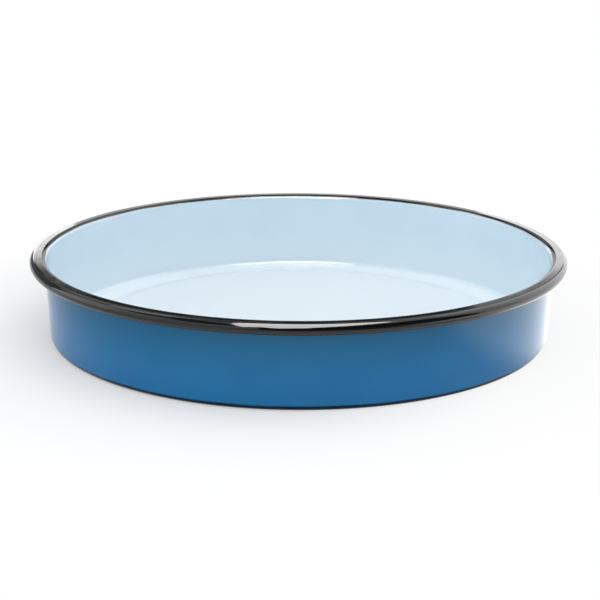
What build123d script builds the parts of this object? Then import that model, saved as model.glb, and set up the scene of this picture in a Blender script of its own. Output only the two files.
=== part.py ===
from build123d import *
from math import asin, atan2, cos, degrees, radians, sin
import os

# Round enamelled pie dish: one drawn steel sheet with a rolled rim, and the glass
# coats fused onto it. Millimetres, +Z up. The origin is the centre of the base, on
# the table. Every piece is turned about Z, and every face follows the same section
# of the sheet: a level is how far a face lies outwards of the steel's inside face.

os.makedirs("parts", exist_ok=True)

# Body, over the enamel
foot_diameter = 282.3  # outside of the wall where it leaves the bottom corner
overall_height = 46.9  # table to the top of the rim
wall_draft = 2.3  # degrees that the wall leans outwards
corner_radius = 1.9  # inside bend between floor and wall

# Base: a flat ring to stand on, and a middle that is pressed up a little
standing_ring_width = 12.7
pressing_width = 10.0  # soft step between the ring and the middle
pressing_height = 0.6

# Rolled rim, over the enamel
lip_bend_radius = 2.8  # inside bend that leads the wall out into the flat top of the rim
lip_flat_width = 3.642  # level top between the lip bend and the bead
bead_diameter = 5.9
curl_gap = 0.5  # open seam between the end of the curl and the flat above it
tip_clearance = 0.01  # between the cut end and the glass rounded over it

# Sheet and coats
steel_thickness = 0.6
ground_thickness = 0.15
cover_thickness = 0.2

# Where the cover coats stop, in degrees round a bend
wall_colour_start = 10.0  # below level, at the bottom corner
wall_colour_end = 84.0  # up the outside of the lip bend, under the rim
floor_colour_end = 38.5  # up the inside of the lip bend, where the rim's colour starts

# Levels of the six faces of the coated sheet, from inside to outside
inner_cover_level = -ground_thickness - cover_thickness
inner_ground_level = -ground_thickness
steel_inside_level = 0.0
steel_outside_level = steel_thickness
outer_ground_level = steel_thickness + ground_thickness
outer_cover_level = outer_ground_level + cover_thickness

# Base heights of the steel's inside face: the bare ground coat stands on the table
ring_height = outer_ground_level
middle_height = ring_height + pressing_height

# Bottom corner: the centre of its bend, and the radius at the steel's inside face
corner_bend = corner_radius - inner_cover_level
corner_centre = (
    foot_diameter / 2 - (corner_bend + outer_cover_level) * cos(radians(wall_draft)),
    ring_height + corner_bend,
)

# Pressed middle: two equal arcs make the step, the upper one round a centre below
pressing_turn = 2 * degrees(atan2(pressing_height, pressing_width))
pressing_bend = pressing_width / 2 / sin(radians(pressing_turn))
pressing_outer_radius = corner_centre[0] - standing_ring_width
pressing_inner_radius = pressing_outer_radius - pressing_width
upper_pressing_centre = (pressing_inner_radius, middle_height - pressing_bend)
lower_pressing_centre = (pressing_outer_radius, ring_height + pressing_bend)

# Wall: unit vectors square to it, pointing out of the dish, and up along it
out_r, out_z = cos(radians(wall_draft)), -sin(radians(wall_draft))
up_r, up_z = sin(radians(wall_draft)), cos(radians(wall_draft))
foot_r = corner_centre[0] + out_r * corner_radius
foot_z = corner_centre[1] + out_z * corner_radius

# Lip bend: it leads the wall's line into the flat top, which is level
lip_climb = (overall_height - lip_bend_radius - foot_z - out_z * lip_bend_radius) / up_z
lip_centre = (
    foot_r + out_r * lip_bend_radius + up_r * lip_climb,
    overall_height - lip_bend_radius,
)

# Bead: it starts where the flat ends, and its top is the top of the dish
bead_radius = bead_diameter / 2
bead_centre = (lip_centre[0] + lip_flat_width, overall_height - bead_radius)

# Bends of the rim: where they start, how far they turn, and the steel's inside face
lip_start_angle = 180 - wall_draft
lip_turn = lip_start_angle - 90
curl_start_angle = 90
lip_bend = lip_bend_radius + inner_cover_level
curl_bend = bead_radius + inner_cover_level

# Curl: its rounded end stops the seam's width under the bare steel of the flat
tip_radius = (steel_outside_level - inner_cover_level) / 2
tip_level = (steel_outside_level + inner_cover_level) / 2
tip_bend = curl_bend - tip_level
tip_rise = curl_bend - steel_outside_level - curl_gap - tip_radius
coat_curl_turn = 270 + degrees(asin(tip_rise / tip_bend))
curl_turn = coat_curl_turn - degrees(tip_clearance / tip_bend)


def bend_point(centre, radius, angle):
    """The point of a bend at an angle in degrees from the outward direction."""
    return (
        centre[0] + radius * cos(radians(angle)),
        centre[1] + radius * sin(radians(angle)),
    )


def lip_point(level, turn):
    """The point of a face where the lip bend has turned by so many degrees."""
    return bend_point(lip_centre, lip_bend - level, lip_start_angle - turn)


def corner_point(level, drop):
    """The point of a face at so many degrees below level on the bottom corner."""
    return bend_point(corner_centre, corner_bend + level, -drop)


def curl_point(level, turn):
    """The point of a face where the curl has turned by so many degrees."""
    return bend_point(bead_centre, curl_bend - level, curl_start_angle - turn)


def draw_floor(level):
    """The floor of a face: raised middle, soft step and standing ring."""
    Line((0, middle_height - level), (pressing_inner_radius, middle_height - level))
    CenterArc(upper_pressing_centre, pressing_bend - level, 90, -pressing_turn)
    CenterArc(lower_pressing_centre, pressing_bend + level, 270 - pressing_turn, pressing_turn)
    Line((pressing_outer_radius, ring_height - level), (corner_centre[0], ring_height - level))


def draw_corner(level, drop):
    """The bottom corner of a face, from an angle below level up to the wall."""
    CenterArc(corner_centre, corner_bend + level, -drop, drop - wall_draft)


def draw_wall(level, lip_end):
    """The wall of a face, and its lip bend up to a turn in degrees."""
    Line(corner_point(level, wall_draft), lip_point(level, 0))
    CenterArc(lip_centre, lip_bend - level, lip_start_angle, -lip_end)


def draw_curl(level, turn):
    """The flat top of a face, and its rolled part up to a turn in degrees."""
    Line(lip_point(level, lip_turn), curl_point(level, 0))
    CenterArc(bead_centre, curl_bend - level, curl_start_angle, -turn)


def draw_sheet(level):
    """A whole face, from the middle of the floor to the end of the curl."""
    draw_floor(level)
    draw_corner(level, 90)
    draw_wall(level, lip_turn)
    draw_curl(level, curl_turn)


def draw_dish_side(level, lip_end):
    """A face from the middle of the floor to a place on the lip bend."""
    draw_floor(level)
    draw_corner(level, 90)
    draw_wall(level, lip_end)


# Steel shell: blank, drawn wall and hollow rolled bead in one sheet
with BuildPart() as steel_shell:
    with BuildSketch(Plane.XZ):
        with BuildLine():
            draw_sheet(steel_inside_level)
            Line(
                curl_point(steel_inside_level, curl_turn),
                curl_point(steel_outside_level, curl_turn),
            )
            draw_sheet(steel_outside_level)
            Line((0, middle_height - steel_outside_level), (0, middle_height))
        make_face()
    revolve(axis=Axis.Z)
steel_shell.part.label = "steel_shell"

# Inner ground coat: dark glass on the inside of the dish and round the bead
with BuildPart() as inner_ground_coat:
    with BuildSketch(Plane.XZ):
        with BuildLine():
            draw_sheet(inner_ground_level)
            Line(
                curl_point(inner_ground_level, curl_turn),
                curl_point(steel_inside_level, curl_turn),
            )
            draw_sheet(steel_inside_level)
            Line((0, middle_height), (0, middle_height - inner_ground_level))
        make_face()
    revolve(axis=Axis.Z)
inner_ground_coat.part.label = "inner_ground_coat"

# Outer ground coat: dark glass under the base and up the outside of the wall
with BuildPart() as outer_ground_coat:
    with BuildSketch(Plane.XZ):
        with BuildLine():
            draw_dish_side(steel_outside_level, wall_colour_end)
            Line(
                lip_point(steel_outside_level, wall_colour_end),
                lip_point(outer_ground_level, wall_colour_end),
            )
            draw_dish_side(outer_ground_level, wall_colour_end)
            Line(
                (0, middle_height - outer_ground_level),
                (0, middle_height - steel_outside_level),
            )
        make_face()
    revolve(axis=Axis.Z)
outer_ground_coat.part.label = "outer_ground_coat"

# Inner cover coat: the pale floor and wall, up to the rim's colour
with BuildPart() as inner_cover_coat:
    with BuildSketch(Plane.XZ):
        with BuildLine():
            draw_dish_side(inner_cover_level, floor_colour_end)
            Line(
                lip_point(inner_cover_level, floor_colour_end),
                lip_point(inner_ground_level, floor_colour_end),
            )
            draw_dish_side(inner_ground_level, floor_colour_end)
            Line(
                (0, middle_height - inner_ground_level),
                (0, middle_height - inner_cover_level),
            )
        make_face()
    revolve(axis=Axis.Z)
inner_cover_coat.part.label = "inner_cover_coat"

# Outer cover coat: the blue wall, from the bottom corner to the seam under the bead
with BuildPart() as outer_cover_coat:
    with BuildSketch(Plane.XZ):
        with BuildLine():
            draw_corner(outer_ground_level, wall_colour_start)
            draw_wall(outer_ground_level, wall_colour_end)
            Line(
                lip_point(outer_ground_level, wall_colour_end),
                lip_point(outer_cover_level, wall_colour_end),
            )
            draw_wall(outer_cover_level, wall_colour_end)
            draw_corner(outer_cover_level, wall_colour_start)
            Line(
                corner_point(outer_cover_level, wall_colour_start),
                corner_point(outer_ground_level, wall_colour_start),
            )
        make_face()
    revolve(axis=Axis.Z)
outer_cover_coat.part.label = "outer_cover_coat"

# Rim coat: black glass over the flat and the bead, rounded over the cut end of the curl
with BuildPart() as rim_coat:
    with BuildSketch(Plane.XZ):
        with BuildLine():
            for level in (inner_cover_level, inner_ground_level):
                CenterArc(
                    lip_centre,
                    lip_bend - level,
                    lip_start_angle - floor_colour_end,
                    floor_colour_end - lip_turn,
                )
                draw_curl(level, coat_curl_turn)
            Line(
                lip_point(inner_cover_level, floor_colour_end),
                lip_point(inner_ground_level, floor_colour_end),
            )
            CenterArc(
                curl_point(tip_level, coat_curl_turn),
                tip_radius,
                curl_start_angle - coat_curl_turn,
                -180,
            )
            Line(
                curl_point(steel_outside_level, coat_curl_turn),
                curl_point(inner_ground_level, coat_curl_turn),
            )
        make_face()
    revolve(axis=Axis.Z)
rim_coat.part.label = "rim_coat"

pieces = [
    steel_shell,
    inner_ground_coat,
    outer_ground_coat,
    inner_cover_coat,
    outer_cover_coat,
    rim_coat,
]
for piece in pieces:
    export_step(piece.part, f"parts/{piece.part.label}.step")

rim_diameter = 2 * (bead_centre[0] + bead_radius)
print(f"rim diameter {rim_diameter:.2f}, lip turn {lip_turn:.1f}, curl turn {curl_turn:.1f}")
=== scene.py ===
"""Round enamelled pie dish, dressed and lit for the view of the reference photograph.

The dish is one drawn steel sheet with a rolled rim, and the coats of glass fused onto it.
Metres, +Z up, the origin at the centre of the base. Every surface is a section carried
round the axis. The section's sizes repeat those of the dish's CAD source, in millimetres.
"""
import logging
import math
from dataclasses import dataclass
from enum import Enum
from typing import Any

import bpy
import numpy as np
from mathutils import Matrix, Vector


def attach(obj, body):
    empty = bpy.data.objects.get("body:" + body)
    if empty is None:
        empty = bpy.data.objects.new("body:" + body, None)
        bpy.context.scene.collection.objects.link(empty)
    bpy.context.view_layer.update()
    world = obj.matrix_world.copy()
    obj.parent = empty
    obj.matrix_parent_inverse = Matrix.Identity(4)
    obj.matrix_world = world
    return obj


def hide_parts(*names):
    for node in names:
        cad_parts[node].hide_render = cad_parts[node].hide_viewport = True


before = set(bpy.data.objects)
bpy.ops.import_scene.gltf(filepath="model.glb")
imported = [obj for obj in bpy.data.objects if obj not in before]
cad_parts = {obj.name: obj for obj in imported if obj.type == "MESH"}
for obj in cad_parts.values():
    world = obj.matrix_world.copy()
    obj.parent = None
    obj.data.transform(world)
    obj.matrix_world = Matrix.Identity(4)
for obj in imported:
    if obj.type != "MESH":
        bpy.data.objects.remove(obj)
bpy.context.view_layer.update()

LOG = logging.getLogger("pie_dish")

Thing = bpy.types.Object
Tree = bpy.types.NodeTree
Socket = bpy.types.NodeSocket
Outputs = bpy.types.NodeOutputs
Numbers = np.ndarray | float
Pair = tuple[float, float]

MM = 0.001  # metres in a millimetre
PHOTO_SIDE = 600  # pixels along each side of the square picture
SENSOR = 36.0  # millimetres across the camera's sensor
AROUND = 384  # steps round the axis
SHARP_ANGLE = 40.0  # degrees between faces, beyond which their edge isn't smoothed

# Rows of vertices along the parts of a section
FLOOR_ROWS = 12
STEP_ROWS = 8
RING_ROWS = 7
CORNER_ROWS = 20
SHEET_CORNER_ROWS = 14
GLOSSY_CORNER_ROWS = 28
CORNER_TOP_ROWS = 8
WALL_ROWS = 10
LIP_ROWS = 12
GROUND_LIP_ROWS = 10
LIP_TOP_ROWS = 8
FLAT_ROWS = 7
SHEET_CURL_ROWS = 36
GROUND_CURL_ROWS = 48
RIM_CURL_ROWS = 64
TIP_ROWS = 13
EDGE_ROWS = 6


def linear(code: str) -> tuple[float, float, float, float]:
    """Turns an sRGB hex code into linear light.

    Args:
        code: Six hex digits after a hash sign.

    Returns:
        Red, green and blue in linear light, and an alpha of one.
    """
    parts = [int(code[i : i + 2], 16) / 255 for i in (1, 3, 5)]
    light = [c / 12.92 if c <= 0.04045 else ((c + 0.055) / 1.055) ** 2.4 for c in parts]
    return (*light, 1.0)


def add_node(
    tree: Tree, kind: str, inputs: dict[str | int, Any] | None = None, **settings: Any
) -> Outputs:
    """Adds a node to a tree, sets its properties, and sets or links its inputs.

    Args:
        tree: The node tree that gets the node.
        kind: The node's type, without the ShaderNode that stands before it.
        inputs: For each input by name or number, a plain value or an output socket.
        settings: Values for the node's own properties.

    Returns:
        The new node's outputs, which are found by name or number.
    """
    node = tree.nodes.new("ShaderNode" + kind)
    for name, value in settings.items():
        setattr(node, name, value)
    for key, value in (inputs or {}).items():
        if isinstance(value, Socket):
            tree.links.new(value, node.inputs[key])
        else:
            node.inputs[key].default_value = value
    return node.outputs


def node_tree(owner: bpy.types.Material | bpy.types.World) -> Tree:
    """Gives a new material or world an empty node tree.

    Args:
        owner: The material or world.

    Returns:
        Its node tree.
    """
    owner.use_nodes = True
    owner.node_tree.nodes.clear()
    return owner.node_tree


def seen_share(tree: Tree) -> Socket:
    """Tells the rays that show a surface from those that only light others by it.

    Args:
        tree: The node tree of the surface or the world.

    Returns:
        One for rays from the camera, off gloss and through glass, and else nothing.
    """
    path = add_node(tree, "LightPath")
    seen = path["Is Camera Ray"]
    for ray in ("Is Glossy Ray", "Is Transmission Ray"):
        seen = add_node(tree, "Math", {0: seen, 1: path[ray]}, operation="MAXIMUM")[0]
    return seen


def smooth_product(tree: Tree, changes: tuple[tuple[Socket, Pair, Pair], ...]) -> Socket:
    """Multiplies values that each change smoothly while a measure crosses a span.

    Args:
        tree: The node tree of the surface.
        changes: For each value the measure, the span's ends, and the value at those ends.

    Returns:
        The product of the values, which is a single one's own value.
    """
    values = []
    for measure, (start, end), (first, last) in changes:
        inputs = {"Value": measure, "From Min": start, "From Max": end}
        inputs.update({"To Min": first, "To Max": last})
        ramp = add_node(tree, "MapRange", inputs, interpolation_type="SMOOTHSTEP")
        values.append(ramp["Result"])
    product = values[0]
    for value in values[1:]:
        product = add_node(tree, "Math", {0: product, 1: value}, operation="MULTIPLY")[0]
    return product


def linked(name: str, data: bpy.types.ID) -> Thing:
    """Makes an object and links it to the scene.

    Args:
        name: The object's name.
        data: The mesh, lamp or lens that it holds.

    Returns:
        The new object.
    """
    item = bpy.data.objects.new(name, data)
    bpy.context.scene.collection.objects.link(item)
    return item


def patch_mesh(name: str, points: np.ndarray) -> bpy.types.Mesh:
    """Makes a mesh over a grid of points, with one face in each of its cells.

    Args:
        name: The mesh's name.
        points: Array of (row, column, place) in metres.

    Returns:
        The new mesh.
    """
    grid = np.arange(points.shape[0] * points.shape[1]).reshape(points.shape[:2])
    quads = np.stack([grid[:-1, :-1], grid[1:, :-1], grid[1:, 1:], grid[:-1, 1:]], -1)
    mesh = bpy.data.meshes.new(name)
    mesh.from_pydata(points.reshape(-1, 3).tolist(), [], quads.reshape(-1, 4).tolist())
    return mesh


def steps(count: int) -> np.ndarray:
    """Even steps from 0 to 1, as a column."""
    return np.linspace(0.0, 1.0, count)[:, None]


def eased(count: int) -> np.ndarray:
    """Steps from 0 to 1 that crowd towards both ends, by half a cosine, as a column."""
    return (1 - np.cos(np.pi * steps(count))) / 2


def join(*runs: np.ndarray) -> np.ndarray:
    """Joins runs of a section end to end, and keeps each shared row once.

    Args:
        runs: Arrays of (row, step round the axis, radius and height).

    Returns:
        One such array.
    """
    wide = [np.broadcast_to(run, (run.shape[0], AROUND, 2)) for run in runs]
    return np.concatenate([wide[0]] + [run[1:] for run in wide[1:]])


def straight(start: np.ndarray, end: np.ndarray, count: int) -> np.ndarray:
    """A straight run: start + (end - start) times eased steps."""
    return start + (end - start) * eased(count)[..., None]


def turned_mesh(name: str, section: np.ndarray, closed: bool) -> Thing:
    """Carries a section round the axis and makes the surface a mesh object.

    x is the radius times the cosine of the angle, y is the radius times its sine, and z is
    the height. The section runs with its solid side on the left, so that faces point out.

    Args:
        name: The object's name.
        section: Array of (row, step round the axis, radius and height) in millimetres.
        closed: True for a ring, whose last row joins its first one. False for a section
            that starts and ends on the axis, where each end becomes one pole vertex.

    Returns:
        The new object, linked to the scene.
    """
    angle = 2 * np.pi * np.arange(AROUND) / AROUND
    radius, height = section[..., 0], section[..., 1]
    points = np.stack([radius * np.cos(angle), radius * np.sin(angle), height], -1) * MM
    if closed:
        grid = np.arange(points.shape[0] * AROUND).reshape(-1, AROUND)
        grid = np.vstack([grid, grid[:1]])
        vertices, caps = points.reshape(-1, 3), []
    else:
        body = points[1:-1]
        grid = np.arange(body.shape[0] * AROUND).reshape(-1, AROUND)
        poles = np.stack([points[0, 0], points[-1, 0]])
        vertices = np.vstack([body.reshape(-1, 3), poles])
        low, high = np.full(AROUND, grid.size), np.full(AROUND, grid.size + 1)
        first, last = grid[0], grid[-1]
        caps = [
            np.stack([low, np.roll(first, -1), first], -1),
            np.stack([last, np.roll(last, -1), high], -1),
        ]
    onward = np.roll(grid, -1, axis=1)
    quads = np.stack([grid[:-1], onward[:-1], onward[1:], grid[1:]], -1).reshape(-1, 4)
    faces = quads.tolist()
    for cap in caps:
        faces += cap.tolist()
    mesh = bpy.data.meshes.new(name)
    mesh.from_pydata(vertices.tolist(), [], faces)
    mesh.shade_smooth()
    mesh.set_sharp_from_angle(angle=math.radians(SHARP_ANGLE))
    mesh.update()
    return linked(name, mesh)


@dataclass(frozen=True)
class Bend:
    """A bend of the sheet, seen in the section.

    Attributes:
        centre: Radius and height of the bend's centre, in millimetres.
        radius: The bend's radius at the steel's inside face.
        side: 1 where outer faces lie further from the centre, and -1 where nearer.
    """

    centre: Pair
    radius: float
    side: int

    def at(self, level: Numbers, angle: Numbers) -> np.ndarray:
        """Points of a face: the centre plus its reach times cosine and sine of the angle.

        Args:
            level: How far the face lies outwards of the steel's inside face.
            angle: Degrees up from the outward direction.

        Returns:
            Array whose last axis holds radius and height.
        """
        reach = self.radius + self.side * np.asarray(level)
        turn = np.radians(angle)
        out = self.centre[0] + reach * np.cos(turn)
        up = self.centre[1] + reach * np.sin(turn)
        return np.stack(np.broadcast_arrays(out, up), -1)

    def run(self, level: float, start: Numbers, end: Numbers, count: int) -> np.ndarray:
        """A face of the bend from one angle to another, in even steps."""
        start, end = np.atleast_1d(start), np.atleast_1d(end)
        return self.at(level, start + (end - start) * steps(count))

    def edge(self, levels: Pair, end: np.ndarray, back: float) -> np.ndarray:
        """The rounded edge of a coat that stops on this bend, as a quarter of an ellipse.

        With u going from nothing to a quarter turn, the angle is the end's plus back times
        one minus the sine of u, and the level goes from the first to the second by one
        minus the cosine of u.

        Args:
            levels: The coat's own level, and the level where the edge comes down.
            end: Angle in degrees where the edge comes down, one for each step round.
            back: Degrees from there to where the coat has its full thickness.

        Returns:
            The edge as a run of the section, from full thickness down.
        """
        u = steps(EDGE_ROWS) * np.pi / 2
        level = levels[0] + (levels[1] - levels[0]) * (1 - np.cos(u))
        return self.at(level, end + back * (1 - np.sin(u)))


@dataclass(frozen=True)
class EdgeWave:
    """How far the edge of a sprayed or dipped coat wanders from its line.

    Attributes:
        height: Largest wander in millimetres.
        lobes: Waves round the dish, one number for each part of the sum.
        seed: Start of the random phases.
    """

    height: float
    lobes: tuple[int, ...]
    seed: int

    def around(self) -> np.ndarray:
        """The wander: a mean of sines round the dish, with random phases, times height.

        Returns:
            Wander in millimetres at each step round the axis.
        """
        angle = 2 * np.pi * np.arange(AROUND) / AROUND
        lobes = np.array(self.lobes)[:, None]
        phase = np.random.default_rng(self.seed).uniform(0, 2 * np.pi, lobes.shape)
        return self.height * np.sin(lobes * angle + phase).mean(axis=0)


@dataclass
class DishSection:
    """The section of the coated sheet, in millimetres.

    A level is how far a face lies outwards of the steel's inside face. Every face of the
    dish is the same line of floor, corner, wall, lip bend and curl at its own level.

    Attributes:
        foot_diameter: Outside of the wall where it leaves the bottom corner.
        overall_height: Table to the top of the rim.
        wall_draft: Degrees that the wall leans outwards.
        corner_radius: Inside bend between floor and wall.
        standing_ring_width: Width of the flat ring that the dish stands on.
        pressing_width: Width of the soft step between the ring and the middle.
        pressing_height: How far the middle is pressed up.
        lip_bend_radius: Inside bend that leads the wall out into the rim's flat top.
        lip_flat_width: Level top between the lip bend and the bead.
        bead_diameter: Thickness of the rolled bead.
        curl_gap: Open seam between the end of the curl and the flat above it.
        tip_clearance: Gap between the cut end and the glass rounded over it.
        steel_thickness: Thickness of the bare sheet.
        ground_thickness: Thickness of each ground coat.
        cover_thickness: Thickness of each coloured coat.
        wall_colour_start: Degrees below level, at the bottom corner, where the blue starts.
        wall_colour_end: Degrees up the outside of the lip bend where the blue stops.
        floor_colour_end: Degrees up the inside of the lip bend where the black starts.
    """

    foot_diameter: float = 282.3
    overall_height: float = 46.9
    wall_draft: float = 2.3
    corner_radius: float = 1.9
    standing_ring_width: float = 12.7
    pressing_width: float = 10.0
    pressing_height: float = 0.6
    lip_bend_radius: float = 2.8
    lip_flat_width: float = 3.642
    bead_diameter: float = 5.9
    curl_gap: float = 0.5
    tip_clearance: float = 0.01
    steel_thickness: float = 0.6
    ground_thickness: float = 0.15
    cover_thickness: float = 0.2
    wall_colour_start: float = 10.0
    wall_colour_end: float = 84.0
    floor_colour_end: float = 38.5

    def __post_init__(self) -> None:
        """Works out the levels, the bends and their angles from the driving sizes."""
        self.inner_cover = -self.ground_thickness - self.cover_thickness
        self.inner_ground = -self.ground_thickness
        self.steel_inside = 0.0
        self.steel_outside = self.steel_thickness
        self.outer_ground = self.steel_thickness + self.ground_thickness
        self.outer_cover = self.outer_ground + self.cover_thickness
        self._place_base()
        self._place_rim()

    def _place_base(self) -> None:
        """Places the corner's bend and the two bends of the pressed middle."""
        draft = math.radians(self.wall_draft)
        self.out = np.array([math.cos(draft), -math.sin(draft)])
        self.up = np.array([math.sin(draft), math.cos(draft)])
        self.ring_height = self.outer_ground
        self.middle_height = self.ring_height + self.pressing_height
        bend = self.corner_radius - self.inner_cover
        centre = self.foot_diameter / 2 - (bend + self.outer_cover) * self.out[0]
        self.corner = Bend((centre, self.ring_height + bend), bend, 1)
        self.pressing_turn = 2 * math.degrees(
            math.atan2(self.pressing_height, self.pressing_width)
        )
        bend = self.pressing_width / 2 / math.sin(math.radians(self.pressing_turn))
        outer = centre - self.standing_ring_width
        inner = outer - self.pressing_width
        self.upper_press = Bend((inner, self.middle_height - bend), bend, -1)
        self.lower_press = Bend((outer, self.ring_height + bend), bend, 1)

    def _place_rim(self) -> None:
        """Places the lip bend and the curl, and finds where each starts and stops."""
        foot = np.array(self.corner.centre) + self.out * self.corner_radius
        bead, lip = self.bead_diameter / 2, self.lip_bend_radius
        climb = (self.overall_height - lip - foot[1] - self.out[1] * lip) / self.up[1]
        lip_centre = foot + self.out * lip + self.up * climb
        self.lip = Bend(tuple(lip_centre), lip + self.inner_cover, -1)
        bead_centre = (lip_centre[0] + self.lip_flat_width, self.overall_height - bead)
        self.curl = Bend(bead_centre, bead + self.inner_cover, -1)
        self.lip_start = 180 - self.wall_draft
        self.curl_start = 90.0
        self.lip_turn = self.lip_start - self.curl_start
        self.tip_radius = (self.steel_outside - self.inner_cover) / 2
        self.tip_level = (self.steel_outside + self.inner_cover) / 2
        bend = self.curl.radius - self.tip_level
        rise = self.curl.radius - self.steel_outside - self.curl_gap - self.tip_radius
        self.coat_curl_turn = 270 + math.degrees(math.asin(rise / bend))
        self.curl_turn = self.coat_curl_turn - math.degrees(self.tip_clearance / bend)

    def floor(self, level: float) -> np.ndarray:
        """A face's floor: the raised middle, the soft step and the standing ring.

        Args:
            level: How far the face lies outwards of the steel's inside face.

        Returns:
            That part of the face as a run of the section.
        """
        middle, ring = self.middle_height - level, self.ring_height - level
        inner, outer = self.upper_press.centre[0], self.lower_press.centre[0]
        flat = [np.array([[radius, height]]) for radius, height in (
            (0.0, middle), (inner, middle), (outer, ring), (self.corner.centre[0], ring)
        )]
        return join(
            straight(flat[0], flat[1], FLOOR_ROWS),
            self.upper_press.run(level, 90, 90 - self.pressing_turn, STEP_ROWS),
            self.lower_press.run(level, 270 - self.pressing_turn, 270, STEP_ROWS),
            straight(flat[2], flat[3], RING_ROWS),
        )

    def corner_run(self, level: float, drop: Numbers, count: int = CORNER_ROWS) -> np.ndarray:
        """A face's bottom corner, from an angle below level up to the wall."""
        return self.corner.run(level, -np.asarray(drop), -self.wall_draft, count)

    def wall(self, level: float) -> np.ndarray:
        """A face's straight wall, between the corner and the lip bend.

        Args:
            level: How far the face lies outwards of the steel's inside face.

        Returns:
            That part of the face as a run of the section.
        """
        low = self.corner.at(level, np.array([-self.wall_draft]))
        high = self.lip.at(level, np.array([self.lip_start]))
        return straight(low, high, WALL_ROWS)

    def lip_run(self, level: float, start: Numbers, end: Numbers, count: int) -> np.ndarray:
        """A face's lip bend between two turns in degrees."""
        start, end = np.asarray(start), np.asarray(end)
        return self.lip.run(level, self.lip_start - start, self.lip_start - end, count)

    def curl_run(self, level: float, turn: float, count: int) -> np.ndarray:
        """A face's flat top and its rolled part.

        Args:
            level: How far the face lies outwards of the steel's inside face.
            turn: Degrees that the curl has turned where the run ends.
            count: Rows of vertices round the rolled part.

        Returns:
            That part of the face as a run of the section.
        """
        start = self.lip.at(level, np.array([self.curl_start]))
        end = self.curl.at(level, np.array([self.curl_start]))
        rolled = self.curl.run(level, self.curl_start, self.curl_start - turn, count)
        return join(straight(start, end, FLAT_ROWS), rolled)

    def whole_face(self, level: float) -> np.ndarray:
        """A whole face, from the middle of the floor to the cut end of the curl.

        Args:
            level: How far the face lies outwards of the steel's inside face.

        Returns:
            The face as a run of the section.
        """
        return join(
            self.floor(level),
            self.corner_run(level, 90, SHEET_CORNER_ROWS),
            self.wall(level),
            self.lip_run(level, 0, self.lip_turn, LIP_ROWS),
            self.curl_run(level, self.curl_turn, SHEET_CURL_ROWS),
        )

    def lip_degrees(self, length: Numbers) -> Numbers:
        """A length along the lip bend, as degrees of its turn."""
        return np.degrees(length / self.lip.radius)


class Along(Enum):
    """What a band of colour is measured along."""

    RADIUS = "radius"
    HEIGHT = "height"


@dataclass(frozen=True)
class ColourBand:
    """A band of another shade that runs round the dish, mostly painted light and shade.

    Attributes:
        along: What the band is measured along.
        middle: Place of the band's middle, in millimetres.
        half: Half the band's full width.
        fade: Width over which it fades out on each side.
        colour: Hex code of the shade.
        strength: Share of the shade in the band's middle.
    """

    along: Along
    middle: float
    half: float
    fade: float
    colour: str
    strength: float


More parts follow.
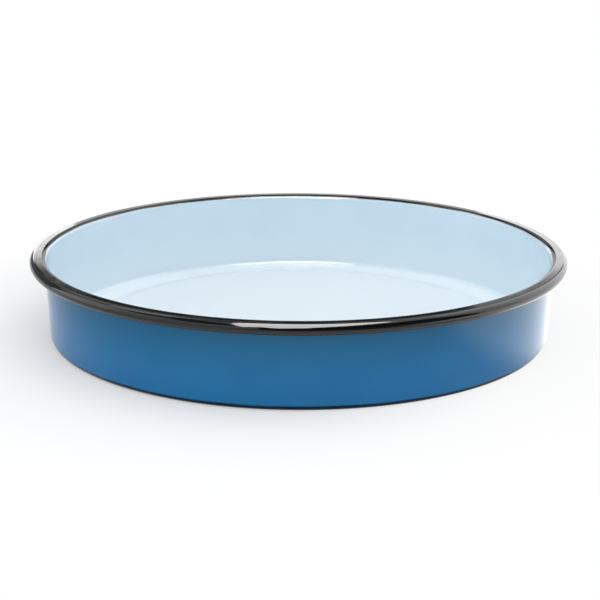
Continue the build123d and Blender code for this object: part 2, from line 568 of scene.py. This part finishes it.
@dataclass(frozen=True)
class Enamel:
    """Vitreous enamel: glass frit fused onto steel at about 820 degrees.

    The melt levels itself, so the surface is a glossy mirror with a faint orange peel. Its
    colour clouds a little where the coat is thicker or thinner, and a few pinholes and
    grains of scale stay in it.

    Attributes:
        name: The material's name.
        colour: Hex code of the coat at its usual thickness.
        cloud_colour: Hex code where the coat is thinner.
        cloud_share: Largest share of the thinner shade.
        roughness: Roughness of the fired surface.
        dull_roughness: Roughness where it is a little smeared.
        ior: Refractive index of the glass.
        peel_height: Height of the orange peel, in millimetres.
        speck_colour: Hex code of the grains and pinholes.
        speck_share: Share of the speck cells that hold a grain.
        bands: Bands of another shade, mostly painted light and shade.
        peel_size: Width of the orange peel's bumps, in millimetres.
        peel_detail: Finer octaves in the peel.
        wave_size: Width of the sheet's own waves, in millimetres.
        wave_detail: Finer octaves in the waves.
        wave_share: Height of those waves, as a multiple of the orange peel's.
        cloud_size: Width of the clouds of colour, in millimetres.
        cloud_detail: Finer octaves in the clouds.
        cloud_span: Values of the cloud pattern between which the thinner shade comes in.
        smear_share: Width of the duller smears, as a share of the clouds'.
        smear_detail: Finer octaves in the smears.
        smear_span: Values of the smear pattern between which the gloss gets duller.
        speck_cell: Width of the cells that may hold a grain, in millimetres.
        speck_radius: Radius of a grain, in millimetres.
        speck_core: Share of that radius which has the grain's full colour.
    """

    name: str
    colour: str
    cloud_colour: str
    cloud_share: float
    roughness: float
    dull_roughness: float
    ior: float
    peel_height: float
    speck_colour: str
    speck_share: float
    bands: tuple[ColourBand, ...] = ()
    peel_size: float = 3.5
    peel_detail: float = 2.0
    wave_size: float = 28.0
    wave_detail: float = 1.0
    wave_share: float = 6.0
    cloud_size: float = 34.0
    cloud_detail: float = 3.0
    cloud_span: Pair = (0.35, 0.7)
    smear_share: float = 0.6
    smear_detail: float = 4.0
    smear_span: Pair = (0.4, 0.75)
    speck_cell: float = 6.0
    speck_radius: float = 0.16
    speck_core: float = 0.6

    def make(self) -> bpy.types.Material:
        """Builds the material.

        Returns:
            A node material that reads Object coordinates, in metres.
        """
        material = bpy.data.materials.new(self.name)
        tree = node_tree(material)
        place = add_node(tree, "TexCoord")["Object"]
        inputs = {
            "Base Color": self._colour(tree, place),
            "Roughness": self._roughness(tree, place),
            "IOR": self.ior,
            "Normal": self._relief(tree, place),
        }
        surface = add_node(tree, "BsdfPrincipled", inputs)["BSDF"]
        add_node(tree, "OutputMaterial", {"Surface": surface})
        return material

    def _colour(self, tree: Tree, place: Socket) -> Socket:
        """The coat's colour: clouds of thickness, bands, then grains and pinholes.

        Args:
            tree: The material's node tree.
            place: Object coordinates, in metres.

        Returns:
            The colour with each layer mixed over the one before it.
        """
        size = self.cloud_size * MM
        inputs = {"Vector": place, "Scale": 1 / size, "Detail": self.cloud_detail}
        cloud = add_node(tree, "TexNoise", inputs)["Fac"]
        thin = smooth_product(tree, ((cloud, self.cloud_span, (0.0, self.cloud_share)),))
        layers = [(thin, self.cloud_colour)]
        layers += [(self._band(tree, place, band), band.colour) for band in self.bands]
        layers.append((self._specks(tree, place), self.speck_colour))
        colour = linear(self.colour)
        for share, over in layers:
            inputs = {"Factor": share, 6: colour, 7: linear(over)}
            colour = add_node(tree, "Mix", inputs, data_type="RGBA")[2]
        return colour

    def _band(self, tree: Tree, place: Socket, band: ColourBand) -> Socket:
        """Share of a band: its strength near the middle, and nothing beyond its width.

        Args:
            tree: The material's node tree.
            place: Object coordinates, in metres.
            band: The band.

        Returns:
            The share of the band's shade.
        """
        if band.along is Along.RADIUS:
            inputs = {0: place, 1: (1, 1, 0)}
            flat = add_node(tree, "VectorMath", inputs, operation="MULTIPLY")["Vector"]
            measure = add_node(tree, "VectorMath", {0: flat}, operation="LENGTH")["Value"]
        else:
            measure = add_node(tree, "SeparateXYZ", {0: place})["Z"]
        inputs = {0: measure, 1: band.middle * MM}
        off = add_node(tree, "Math", inputs, operation="SUBTRACT")[0]
        away = add_node(tree, "Math", {0: off}, operation="ABSOLUTE")[0]
        span = (max(band.half - band.fade, 0.0) * MM, band.half * MM)
        return smooth_product(tree, ((away, span, (band.strength, 0.0)),))

    def _specks(self, tree: Tree, place: Socket) -> Socket:
        """Share of grain: a small round spot in a few of the cells of a Voronoi pattern.

        Args:
            tree: The material's node tree.
            place: Object coordinates, in metres.

        Returns:
            The share of the grains' shade.
        """
        inputs = {"Vector": place, "Scale": 1 / (self.speck_cell * MM), "Randomness": 1.0}
        cells = add_node(tree, "TexVoronoi", inputs)
        radius = self.speck_radius / self.speck_cell
        fade = (radius * self.speck_core, radius)
        spot = smooth_product(tree, ((cells["Distance"], fade, (1.0, 0.0)),))
        draw = add_node(tree, "SeparateColor", {0: cells["Color"]})[0]
        inputs = {0: draw, 1: self.speck_share}
        chosen = add_node(tree, "Math", inputs, operation="LESS_THAN")[0]
        return add_node(tree, "Math", {0: spot, 1: chosen}, operation="MULTIPLY")[0]

    def _roughness(self, tree: Tree, place: Socket) -> Socket:
        """Roughness: the fired gloss, a little duller in soft smears.

        Args:
            tree: The material's node tree.
            place: Object coordinates, in metres.

        Returns:
            The roughness.
        """
        size = self.cloud_size * self.smear_share * MM
        inputs = {"Vector": place, "Scale": 1 / size, "Detail": self.smear_detail}
        smear = add_node(tree, "TexNoise", inputs)["Fac"]
        ends = (self.roughness, self.dull_roughness)
        return smooth_product(tree, ((smear, self.smear_span, ends),))

    def _relief(self, tree: Tree, place: Socket) -> Socket:
        """Relief: the orange peel on top of the sheet's own long, faint waves.

        Args:
            tree: The material's node tree.
            place: Object coordinates, in metres.

        Returns:
            The normal of the uneven surface.
        """
        under = {}
        for size, detail, height in (
            (self.wave_size, self.wave_detail, self.peel_height * self.wave_share),
            (self.peel_size, self.peel_detail, self.peel_height),
        ):
            inputs = {"Vector": place, "Scale": 1 / (size * MM), "Detail": detail}
            bumps = add_node(tree, "TexNoise", inputs)["Fac"]
            inputs = {"Strength": 1.0, "Distance": height * MM, "Height": bumps} | under
            under = {"Normal": add_node(tree, "Bump", inputs)["Normal"]}
        return under["Normal"]


@dataclass(frozen=True)
class RolledSteel:
    """Cold rolled enamelling steel, pickled before it is coated: a dull grey metal.

    Attributes:
        name: The material's name.
        colour: Hex code of the clean metal.
        stained_colour: Hex code of its faint stains.
        stain_size: Width of the stains, in millimetres.
        stain_detail: Finer octaves in the stains.
        grain_size: Width of the etched grain, in millimetres.
        grain_detail: Finer octaves in the grain.
        grain_height: Height of the grain, in millimetres.
        gloss: Least and greatest roughness.
    """

    name: str = "cold_rolled_enamelling_steel"
    colour: str = "#8F8F91"
    stained_colour: str = "#77756F"
    stain_size: float = 25.0
    stain_detail: float = 5.0
    grain_size: float = 0.8
    grain_detail: float = 3.0
    grain_height: float = 0.004
    gloss: Pair = (0.38, 0.55)

    def make(self) -> bpy.types.Material:
        """Builds the material, with faint stains and a fine etched grain.

        Returns:
            A node material that reads Object coordinates, in metres.
        """
        material = bpy.data.materials.new(self.name)
        tree = node_tree(material)
        place = add_node(tree, "TexCoord")["Object"]
        size = self.stain_size * MM
        inputs = {"Vector": place, "Scale": 1 / size, "Detail": self.stain_detail}
        stain = add_node(tree, "TexNoise", inputs)["Fac"]
        size = self.grain_size * MM
        inputs = {"Vector": place, "Scale": 1 / size, "Detail": self.grain_detail}
        grain = add_node(tree, "TexNoise", inputs)["Fac"]
        inputs = {"Factor": stain, 6: linear(self.colour), 7: linear(self.stained_colour)}
        colour = add_node(tree, "Mix", inputs, data_type="RGBA")[2]
        inputs = {"Value": grain, "To Min": self.gloss[0], "To Max": self.gloss[1]}
        gloss = add_node(tree, "MapRange", inputs)["Result"]
        inputs = {"Strength": 1.0, "Distance": self.grain_height * MM, "Height": grain}
        etching = add_node(tree, "Bump", inputs)["Normal"]
        inputs = {"Base Color": colour, "Metallic": 1.0, "Roughness": gloss, "Normal": etching}
        surface = add_node(tree, "BsdfPrincipled", inputs)["BSDF"]
        add_node(tree, "OutputMaterial", {"Surface": surface})
        return material


# The pale inside is opacified with titania, so it covers evenly and shows few marks. Its
# floor is painted lighter, a painted light and reflection, and its standing ring is painted
# lighter against the shade of the wall. The foot of the wall is painted darker, a painted
# shade in the inner corner, and a thin grey line is painted round the top of the wall.
PALE_ENAMEL = Enamel(
    name="pale_blue_vitreous_enamel",
    colour="#C4D7E3",
    cloud_colour="#BFD3E0",
    cloud_share=0.6,
    roughness=0.05,
    dull_roughness=0.08,
    ior=1.5,
    peel_height=0.0025,
    speck_colour="#5D7485",
    speck_share=0.015,
    bands=(
        # painted light and reflection on the floor and its ring
        ColourBand(Along.HEIGHT, 0.9, 2.3, 1.5, "#E3ECF1", 1.0),
        # painted light on the standing ring, against the shade of the wall
        ColourBand(Along.RADIUS, 130.0, 9.0, 5.0, "#EEF5F8", 0.5),
        # painted shade in the inner corner at the foot of the wall
        ColourBand(Along.RADIUS, 139.4, 1.6, 1.0, "#CDDCE6", 0.7),
        # a thin grey line round the top of the wall, where the lip bend starts
        ColourBand(Along.RADIUS, 142.2, 0.5, 0.4, "#8398A8", 0.45),
    ),
)

# The blue outside is a stronger glass over the dark ground coat. It is painted darker
# towards the top, a painted shade under the rim, and darker in a narrow band along its
# lower edge, below which the ground coat shows.
BLUE_ENAMEL = Enamel(
    name="blue_vitreous_enamel",
    colour="#06699E",
    cloud_colour="#056196",
    cloud_share=0.6,
    roughness=0.04,
    dull_roughness=0.07,
    ior=1.37,
    peel_height=0.003,
    speck_colour="#0F2E49",
    speck_share=0.02,
    bands=(
        # painted shade under the rim, deepest at the top of the wall
        ColourBand(Along.HEIGHT, 47.0, 36.0, 30.0, "#065F88", 1.0),
        # darker in a narrow band along the coat's lower edge
        ColourBand(Along.HEIGHT, 2.4, 0.8, 0.7, "#0C2A42", 0.8),
    ),
)

# The rim is dipped in black, which flows round the bead and lies thick and mirror smooth.
BLACK_ENAMEL = Enamel(
    name="black_vitreous_enamel",
    colour="#08090B",
    cloud_colour="#0E1013",
    cloud_share=0.5,
    roughness=0.06,
    dull_roughness=0.1,
    ior=1.5,
    peel_height=0.003,
    speck_colour="#2A2D31",
    speck_share=0.02,
)

# The ground coat bonds to the steel with cobalt and nickel oxides, so it is blue-black.
# Bare under the base, it keeps a rougher gloss and pale grains.
GROUND_ENAMEL = Enamel(
    name="cobalt_ground_enamel",
    colour="#041627",
    cloud_colour="#071D30",
    cloud_share=0.8,
    roughness=0.08,
    dull_roughness=0.2,
    ior=1.22,
    peel_height=0.006,
    speck_colour="#4C6072",
    speck_share=0.12,
    speck_radius=0.22,
)


@dataclass
class CoatedSheet:
    """The steel sheet and the two ground coats that bond the colours to it.

    Attributes:
        section: The section that all the pieces share.
        ground_edge: Length of the outer coat's rounded edge, in millimetres.
        end_wave: Wander of that edge.
    """

    section: DishSection
    ground_edge: float = 0.25
    end_wave: EdgeWave = EdgeWave(0.2, (5, 9, 16), 11)

    def steel(self) -> Thing:
        """The sheet: its outside face, the cut end of the curl, and its inside face.

        Returns:
            The sheet, still without its material.
        """
        s = self.section
        outside, inside = s.whole_face(s.steel_outside), s.whole_face(s.steel_inside)
        return turned_mesh("rolled_steel_sheet", np.concatenate([outside, inside[::-1]]), False)

    def inner_ground(self) -> Thing:
        """Ground coat on the inside of the dish and round the bead, to the cut end.

        Returns:
            The coat, still without its material.
        """
        s = self.section
        under, over = s.whole_face(s.steel_inside), s.whole_face(s.inner_ground)
        return turned_mesh("inside_ground_coat", np.concatenate([under, over[::-1]]), False)

    def outer_ground(self) -> Thing:
        """Ground coat under the base and up the wall, with a rounded upper edge.

        Returns:
            The coat, still without its material.
        """
        s = self.section
        end = s.wall_colour_end + s.lip_degrees(self.end_wave.around())
        back = s.lip_degrees(self.ground_edge)
        over = join(
            s.floor(s.outer_ground),
            s.corner_run(s.outer_ground, 90),
            s.wall(s.outer_ground),
            s.lip_run(s.outer_ground, 0, end - back, GROUND_LIP_ROWS),
            s.lip.edge((s.outer_ground, s.steel_outside), s.lip_start - end, back),
        )
        under = join(
            s.floor(s.steel_outside),
            s.corner_run(s.steel_outside, 90),
            s.wall(s.steel_outside),
            s.lip_run(s.steel_outside, 0, end, GROUND_LIP_ROWS),
        )
        return turned_mesh("base_ground_coat", join(over, under[::-1]), False)


@dataclass
class CoverCoats:
    """The three coloured coats: the pale inside, the blue wall and the black rim.

    Attributes:
        section: The section that all the pieces share.
        pale_edge: Length over which the pale coat thins at the rim, in millimetres.
        black_edge: Length of the black coat's rounded edge there.
        blue_edge: Length of the blue coat's rounded edges.
        meeting_depth: How far the pale and the black coat are sunk where they meet.
        seam_setback: How far the blue coat stops before its line under the bead.
        rim_wave: Wander of the line between the pale and the black coat.
        foot_wave: Wander of the blue coat's lower edge.
        seam_wave: Wander of the blue coat's upper edge.
    """

    section: DishSection
    pale_edge: float = 0.9
    black_edge: float = 0.35
    blue_edge: float = 0.4
    meeting_depth: float = 0.06
    seam_setback: float = 0.3
    rim_wave: EdgeWave = EdgeWave(0.3, (3, 7, 12, 19, 31), 4)
    foot_wave: EdgeWave = EdgeWave(0.25, (4, 9, 17, 29), 7)
    seam_wave: EdgeWave = EdgeWave(0.3, (5, 11, 18), 9)

    def _rim_line(self) -> np.ndarray:
        """Turn of the lip bend, in degrees, where the pale inside meets the black rim."""
        s = self.section
        return s.floor_colour_end + s.lip_degrees(self.rim_wave.around())

    def pale(self) -> Thing:
        """Pale coat of floor and wall, which thins to where the black one meets it.

        Returns:
            The coat, still without its material.
        """
        s = self.section
        end, back = self._rim_line(), s.lip_degrees(self.pale_edge)
        meeting = s.inner_cover + self.meeting_depth
        under = join(
            s.floor(s.inner_ground),
            s.corner_run(s.inner_ground, 90),
            s.wall(s.inner_ground),
            s.lip_run(s.inner_ground, 0, end, LIP_ROWS),
        )
        over = join(
            s.floor(s.inner_cover),
            s.corner_run(s.inner_cover, 90, GLOSSY_CORNER_ROWS),
            s.wall(s.inner_cover),
            s.lip_run(s.inner_cover, 0, end - back, LIP_ROWS),
            s.lip.edge((s.inner_cover, meeting), s.lip_start - end, back),
        )
        return turned_mesh("pale_inside_coat", np.concatenate([under, over[::-1]]), False)

    def blue(self) -> Thing:
        """Blue coat of the wall, rounded at the bottom corner and under the bead.

        Returns:
            The coat, still without its material.
        """
        s = self.section
        foot = s.wall_colour_start + np.degrees(self.foot_wave.around() / s.corner.radius)
        foot_back = np.degrees(self.blue_edge / s.corner.radius)
        end = s.wall_colour_end + s.lip_degrees(self.seam_wave.around() - self.seam_setback)
        back = s.lip_degrees(self.blue_edge)
        levels = (s.outer_cover, s.outer_ground)
        over = join(
            s.corner.edge(levels, -foot, foot_back)[::-1],
            s.corner_run(s.outer_cover, foot - foot_back, CORNER_TOP_ROWS),
            s.wall(s.outer_cover),
            s.lip_run(s.outer_cover, 0, end - back, LIP_ROWS),
            s.lip.edge(levels, s.lip_start - end, back),
        )
        under = join(
            s.corner_run(s.outer_ground, foot, CORNER_TOP_ROWS),
            s.wall(s.outer_ground),
            s.lip_run(s.outer_ground, 0, end, LIP_ROWS),
        )
        return turned_mesh("blue_wall_coat", join(over, under[::-1])[:-1], True)

    def black(self) -> Thing:
        """Black coat round the bead, rounded over the cut end and onto the lip bend.

        Returns:
            The coat, still without its material.
        """
        s = self.section
        start, back = self._rim_line(), s.lip_degrees(self.black_edge)
        meeting = s.inner_cover + self.meeting_depth
        turn = s.coat_curl_turn
        under = join(
            s.lip_run(s.inner_ground, start, s.lip_turn, LIP_TOP_ROWS),
            s.curl_run(s.inner_ground, turn, GROUND_CURL_ROWS),
        )
        tip_angle = s.curl_start - turn
        tip = Bend(tuple(s.curl.at(s.tip_level, tip_angle)), s.tip_radius, 1)
        over = join(
            s.lip.edge((s.inner_cover, meeting), s.lip_start - start, -back)[::-1],
            s.lip_run(s.inner_cover, start + back, s.lip_turn, LIP_TOP_ROWS),
            s.curl_run(s.inner_cover, turn, RIM_CURL_ROWS),
        )
        cap = tip.run(0.0, tip_angle - 180, tip_angle, TIP_ROWS)
        section = np.concatenate([under, join(cap, over[::-1])])
        return turned_mesh("black_rim_coat", section, True)


class Dish:
    """The whole dish: builds every coat, dresses it and ties it to its node."""

    def __init__(self) -> None:
        """Sets out the section that all the coats share."""
        self.section = DishSection()
        self.sheet = CoatedSheet(self.section)
        self.covers = CoverCoats(self.section)

    def build(self) -> None:
        """Builds the six pieces and reports each one."""
        ground = GROUND_ENAMEL.make()
        rows = (
            (self.sheet.steel(), RolledSteel().make(), "steel_shell", "steel"),
            (self.sheet.inner_ground(), ground, "inner_ground_coat", "ground_enamel"),
            (self.sheet.outer_ground(), ground, "outer_ground_coat", "ground_enamel"),
            (self.covers.pale(), PALE_ENAMEL.make(), "inner_cover_coat", "inner_enamel"),
            (self.covers.blue(), BLUE_ENAMEL.make(), "outer_cover_coat", "outer_enamel"),
            (self.covers.black(), BLACK_ENAMEL.make(), "rim_coat", "rim_enamel"),
        )
        for piece, material, node, slot in rows:
            piece.data.materials.append(material)
            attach(piece, "root")
            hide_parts(node)
            LOG.info("%s: %d faces, for %s", piece.name, len(piece.data.polygons), node)


def gloss_only(name: str, mesh: bpy.types.Mesh, radiance: float) -> Thing:
    """Makes a mesh a glowing card that shows in gloss alone, and lights nothing else.

    Args:
        name: The card's name.
        mesh: Its shape.
        radiance: Brightness, where 1 is white.

    Returns:
        The card.
    """
    card = linked(name, mesh)
    material = bpy.data.materials.new(name)
    tree = node_tree(material)
    light = add_node(tree, "Emission", {"Strength": radiance})[0]
    add_node(tree, "OutputMaterial", {"Surface": light})
    mesh.materials.append(material)
    card.visible_camera = False
    card.visible_diffuse = False
    card.visible_shadow = False
    return card


@dataclass(frozen=True)
class Flag:
    """A dark cloth or a white card round the dish that only its gloss shows.

    Attributes:
        name: The object's name.
        azimuth: From and to, in degrees, 0 towards the camera and 90 to the right.
        elevation: From and to, in degrees above the floor.
        radiance: Brightness, where 1 is white.
        distance: How far off it stands, in metres.
        lines: Number of its grid lines upwards and across.
    """

    name: str
    azimuth: Pair
    elevation: Pair
    radiance: float
    distance: float = 8.0
    lines: tuple[int, int] = (13, 9)

    def build(self) -> Thing:
        """Builds the cloth as part of a sphere: distance times the direction's vector.

        Returns:
            The cloth or card.
        """
        a = np.radians(np.linspace(*self.azimuth, self.lines[0]))[:, None]
        e = np.radians(np.linspace(*self.elevation, self.lines[1]))[None, :]
        axes = np.broadcast_arrays(np.sin(a) * np.cos(e), -np.cos(a) * np.cos(e), np.sin(e))
        mesh = patch_mesh(self.name, self.distance * np.stack(axes, -1))
        return gloss_only(self.name, mesh, self.radiance)


@dataclass(frozen=True)
class OverheadCard:
    """The bright diffuser over the front of the dish, as its gloss shows it.

    Attributes:
        name: The object's name.
        height: Height over the floor, in metres.
        outline: Corners of the diffuser, in metres.
        radiance: Brightness, where 1 is white.
    """

    name: str
    height: float
    outline: tuple[Pair, ...]
    radiance: float

    def build(self) -> Thing:
        """Builds the diffuser as one flat face.

        Returns:
            The diffuser.
        """
        corners = [(x, y, self.height) for x, y in self.outline]
        mesh = bpy.data.meshes.new(self.name)
        mesh.from_pydata(corners, [], [tuple(range(len(corners)))])
        return gloss_only(self.name, mesh, self.radiance)


@dataclass(frozen=True)
class FloorSheen:
    """A brighter or darker side of the floor that only the dish's gloss shows.

    Attributes:
        name: The object's name.
        azimuth: Its side in degrees, 0 towards the camera and 90 to the right.
        ramp: Distances to that side, in metres, between which it comes in.
        near: Distances from the dish's axis, in metres, between which it comes in.
        radiance: Brightness, where 1 is white.
        reach: Distance to its far edge, in metres.
        height: Height over the floor, in metres, so that no two sheens share a plane.
    """

    name: str
    azimuth: float
    ramp: Pair
    near: Pair
    radiance: float
    reach: float = 1.4
    height: float = 0.0005

    def build(self) -> Thing:
        """Builds it as a rectangle just over the floor, with soft near edges.

        Returns:
            The sheen.
        """
        turn = math.radians(self.azimuth)
        onward = np.array([math.sin(turn), -math.cos(turn), 0.0])
        sideways = np.array([onward[1], -onward[0], 0.0])
        lift = np.array([0.0, 0.0, self.height])
        edges = np.array([[onward * reach] for reach in (self.ramp[0], self.reach)])
        points = edges + np.array([sideways, -sideways]) + lift
        mesh = patch_mesh(self.name, points)
        card = gloss_only(self.name, mesh, self.radiance)
        tree = mesh.materials[0].node_tree
        place = add_node(tree, "TexCoord")["Object"]
        inputs = {0: place, 1: tuple(onward)}
        aside = add_node(tree, "VectorMath", inputs, operation="DOT_PRODUCT")["Value"]
        away = add_node(tree, "VectorMath", {0: place}, operation="LENGTH")["Value"]
        full = (0.0, 1.0)
        share = smooth_product(tree, ((aside, self.ramp, full), (away, self.near, full)))
        glow = tree.nodes["Emission"].outputs[0]
        clear = add_node(tree, "BsdfTransparent")[0]
        mixed = add_node(tree, "MixShader", {0: share, 1: clear, 2: glow})[0]
        tree.links.new(mixed, tree.nodes["Material Output"].inputs["Surface"])
        return card


@dataclass(frozen=True)
class SoftBox:
    """A rectangular lamp that faces a point. Cards stand for the lamps in reflections.

    Attributes:
        name: The object's name.
        place: Centre of the lamp in metres.
        target: Point that it faces.
        size: Width and height in metres.
        radiance: Brightness of its face, where 1 is white.
    """

    name: str
    place: tuple[float, float, float]
    target: tuple[float, float, float]
    size: Pair
    radiance: float

    def build(self) -> Thing:
        """Builds the lamp; its power is pi times its area times its radiance.

        Returns:
            The lamp.
        """
        lamp = bpy.data.lights.new(self.name, "AREA")
        lamp.shape = "RECTANGLE"
        lamp.size, lamp.size_y = self.size
        lamp.energy = math.pi * self.size[0] * self.size[1] * self.radiance
        item = linked(self.name, lamp)
        facing = Vector(self.target) - Vector(self.place)
        item.location = self.place
        item.rotation_euler = facing.to_track_quat("-Z", "Y").to_euler()
        item.visible_camera = False
        item.visible_glossy = False
        return item


@dataclass(frozen=True)
class PaleFloor:
    """The plain pale floor, which fades to white away from the dish.

    Attributes:
        half: Half the floor's side, in metres.
        colour: Hex code of the floor.
        lift: Share of glowing white near the dish, painted light that lightens the shadow.
        fade: Distances from the dish's axis between which it turns white.
        side: Share of white that comes in to the right, painted light over the shadow there.
        side_span: Distances to the right between which that share comes in.
        lines: Number of grid lines each way.
    """

    half: float = 12.0
    colour: str = "#F1F2F3"
    lift: float = 0.35
    fade: Pair = (0.2, 0.27)
    side: float = 0.8
    side_span: Pair = (-0.05, 0.12)
    lines: int = 9

    def build(self) -> Thing:
        """Builds the floor and its material, which is clear from below.

        Returns:
            The floor.
        """
        side = np.linspace(-self.half, self.half, self.lines)
        x, y = np.meshgrid(side, side, indexing="ij")
        mesh = patch_mesh("pale_floor", np.stack([x, y, np.zeros_like(x)], -1))
        floor = linked("pale_floor", mesh)
        mesh.materials.append(self._material())
        return floor

    def _material(self) -> bpy.types.Material:
        """Matt white that keeps the shadow, and plain white further off.

        Returns:
            A node material that reads Object coordinates, in metres.
        """
        material = bpy.data.materials.new("matt_white_card")
        tree = node_tree(material)
        place = add_node(tree, "TexCoord")["Object"]
        away = add_node(tree, "VectorMath", {0: place}, operation="LENGTH")["Value"]
        across = add_node(tree, "SeparateXYZ", {0: place})["X"]
        # painted light: glowing white lightens the floor's shadow near the dish, more to the
        # right
        matt_share = smooth_product(
            tree,
            ((away, self.fade, (1.0, 0.0)), (across, self.side_span, (1.0, 1 - self.side))),
        )
        inputs = {0: matt_share, 1: self.lift - 1, 2: 1.0}
        white_share = add_node(tree, "Math", inputs, operation="MULTIPLY_ADD")[0]
        inputs = {0: white_share, 1: seen_share(tree)}
        share = add_node(tree, "Math", inputs, operation="MULTIPLY")[0]
        matt = add_node(tree, "BsdfDiffuse", {"Color": linear(self.colour)})[0]
        white = add_node(tree, "Emission", {"Strength": 1.0})[0]
        card = add_node(tree, "MixShader", {0: share, 1: matt, 2: white})[0]
        below = add_node(tree, "NewGeometry")["Backfacing"]
        clear = add_node(tree, "BsdfTransparent")[0]
        whole = add_node(tree, "MixShader", {0: below, 1: card, 2: clear})[0]
        add_node(tree, "OutputMaterial", {"Surface": whole})
        return material


@dataclass(frozen=True)
class Surround:
    """The studio round the dish: white surroundings, lamps, cards and dark cloths.

    Attributes:
        ambient: Brightness of the surroundings as a source of matt light.
        lamps: Lamps that give the matt light.
        diffuser: The card overhead, whose outline is read from the rim's highlight.
        flags: Cards and cloths round the dish, read from the rim's other reflections.
        sheens: Sides of the floor, read from the reflections in the blue wall.
    """

    ambient: float = 0.87
    lamps: tuple[SoftBox, ...] = (
        SoftBox("over_soft_box", (0.0, -0.3, 0.6), (0.0, -0.1, 0.0), (0.5, 0.9), 0.8),
        SoftBox("left_soft_box", (-0.95, 0.0, 0.42), (0.0, 0.0, 0.1), (1.1, 0.8), 0.5),
        SoftBox("right_soft_box", (0.95, 0.15, 0.42), (0.0, 0.0, 0.1), (1.1, 0.8), 0.4),
        SoftBox("front_soft_box", (0.0, -1.25, 0.45), (0.0, 0.0, 0.1), (1.3, 0.7), 0.21),
    )
    diffuser: OverheadCard = OverheadCard(
        "overhead_diffuser",
        0.5,
        (
            (-0.117, -0.025), (-0.24, -0.494), (-0.345, -0.86), (-0.214, -0.69),
            (-0.165, -0.6), (-0.158, -0.9), (-0.13, -0.98), (-0.046, -0.83),
            (0.048, -0.726), (0.063, -0.562), (0.1, -0.486), (0.15, -0.36),
            (0.185, -0.2), (0.2, -0.1), (0.17, 0.0), (0.09, 0.13), (-0.06, 0.13),
            (-0.1, 0.05),
        ),
        12.5,
    )
    flags: tuple[Flag, ...] = (
        Flag("camera_side_cloth", (-16, 20), (0, 78), 0.03),
        Flag("left_front_card", (-60, -16), (0, 38), 1.0),
        Flag("left_front_cloth", (-60, -16), (38, 78), 0.03),
        Flag("left_low_card", (-82, -60), (0, 40), 1.2),
        Flag("left_side_card", (-120, -82), (0, 40), 1.7),
        Flag("left_back_cloth", (-160, -120), (0, 30), 0.2),
        Flag("left_back_dim_card", (-160, -120), (30, 46), 0.7),
        Flag("left_upper_cloth", (-110, -60), (44, 70), 0.2),
        Flag("left_back_upper_cloth", (-160, -110), (62, 70), 0.2),
        Flag("left_back_high_card", (-160, -110), (46, 62), 2.0),
        Flag("left_back_card", (190, 200), (0, 14.6), 3.0),
        Flag("back_card", (172, 190), (0, 15.2), 1.0),
        Flag("right_back_low_card", (160, 172), (0, 15.0), 2.5),
        Flag("right_back_dim_card", (160, 172), (15.0, 60.0), 0.5),
        Flag("back_low_cloth", (172, 200), (15.2, 19), 0.03),
        Flag("back_dim_card", (172, 200), (19, 36), 0.5),
        Flag("back_cloth", (172, 200), (36, 75), 0.03),
        Flag("left_back_edge_cloth", (190, 200), (14.6, 15.2), 0.03),
        Flag("right_back_card", (100, 160), (0, 60), 2.2),
        Flag("right_side_card", (80, 100), (0, 50), 1.7),
        Flag("right_front_cloth", (20, 76), (0, 60), 0.05),
        Flag("right_high_card", (45, 100), (60, 80), 1.5),
    )
    sheens: tuple[FloorSheen, ...] = (
        FloorSheen("right_floor_sheen", 118, (0.055, 0.11), (0.13, 0.148), 2.15),
        FloorSheen("left_floor_sheen", -90, (0.09, 0.16), (0.15, 0.18), 0.8),
        FloorSheen("front_floor_sheen", 5, (0.25, 0.29), (0.15, 0.18), 0.05, height=0.0004),
    )

    def build(self) -> None:
        """Builds the world, the lamps and the cloths."""
        scene = bpy.context.scene
        world = bpy.data.worlds.new("white_surroundings")
        tree = node_tree(world)
        inputs = {"Value": seen_share(tree), "To Min": self.ambient, "To Max": 1.0}
        strength = add_node(tree, "MapRange", inputs)["Result"]
        inputs = {"Color": linear("#FFFFFF"), "Strength": strength}
        glow = add_node(tree, "Background", inputs)[0]
        add_node(tree, "OutputWorld", {"Surface": glow})
        scene.world = world
        for item in (*self.lamps, self.diffuser, *self.flags, *self.sheens):
            item.build()
            LOG.info("%s stands in the studio", item.name)


@dataclass(frozen=True)
class PhotoCamera:
    """The camera, at the photograph's viewing angle.

    Attributes:
        place: Where it stands, in metres.
        pitch: How far it looks down, in radians.
        yaw: How far it is turned to the right, in radians.
        roll: How far it is tilted, in radians.
        focal: Focal length in pixels of the photograph.
        clip: Nearest and furthest distance that it sees, in metres.
    """

    place: tuple[float, float, float] = (0.0, -0.795, 0.2453)
    pitch: float = 0.2813
    yaw: float = 0.0008
    roll: float = 0.0046
    focal: float = 1441.0
    clip: Pair = (0.01, 60.0)

    def build(self) -> Thing:
        """Builds the camera from its right, upward and backward unit vectors.

        Returns:
            The camera, which is now the scene's own.
        """
        ahead = np.array(
            [
                math.sin(self.yaw) * math.cos(self.pitch),
                math.cos(self.yaw) * math.cos(self.pitch),
                -math.sin(self.pitch),
            ]
        )
        level = np.cross(ahead, (0.0, 0.0, 1.0))
        level /= np.linalg.norm(level)
        upright = np.cross(level, ahead)
        right = math.cos(self.roll) * level + math.sin(self.roll) * upright
        up = math.cos(self.roll) * upright - math.sin(self.roll) * level
        lens = bpy.data.cameras.new("photo_camera")
        lens.sensor_width = SENSOR
        lens.lens = SENSOR * self.focal / PHOTO_SIDE
        lens.clip_start, lens.clip_end = self.clip
        item = linked("photo_camera", lens)
        axes = np.eye(4)
        axes[:3, 0], axes[:3, 1], axes[:3, 2], axes[:3, 3] = right, up, -ahead, self.place
        item.matrix_world = Matrix(axes.tolist())
        bpy.context.scene.camera = item
        return item


def main() -> None:
    """Builds the camera, the studio and the dish, in that order."""
    logging.basicConfig(level=logging.INFO, format="%(name)s: %(message)s")
    bpy.context.scene.view_settings.view_transform = "Standard"
    PhotoCamera().build()
    PaleFloor().build()
    Surround().build()
    Dish().build()


if __name__ == "__main__":
    main()
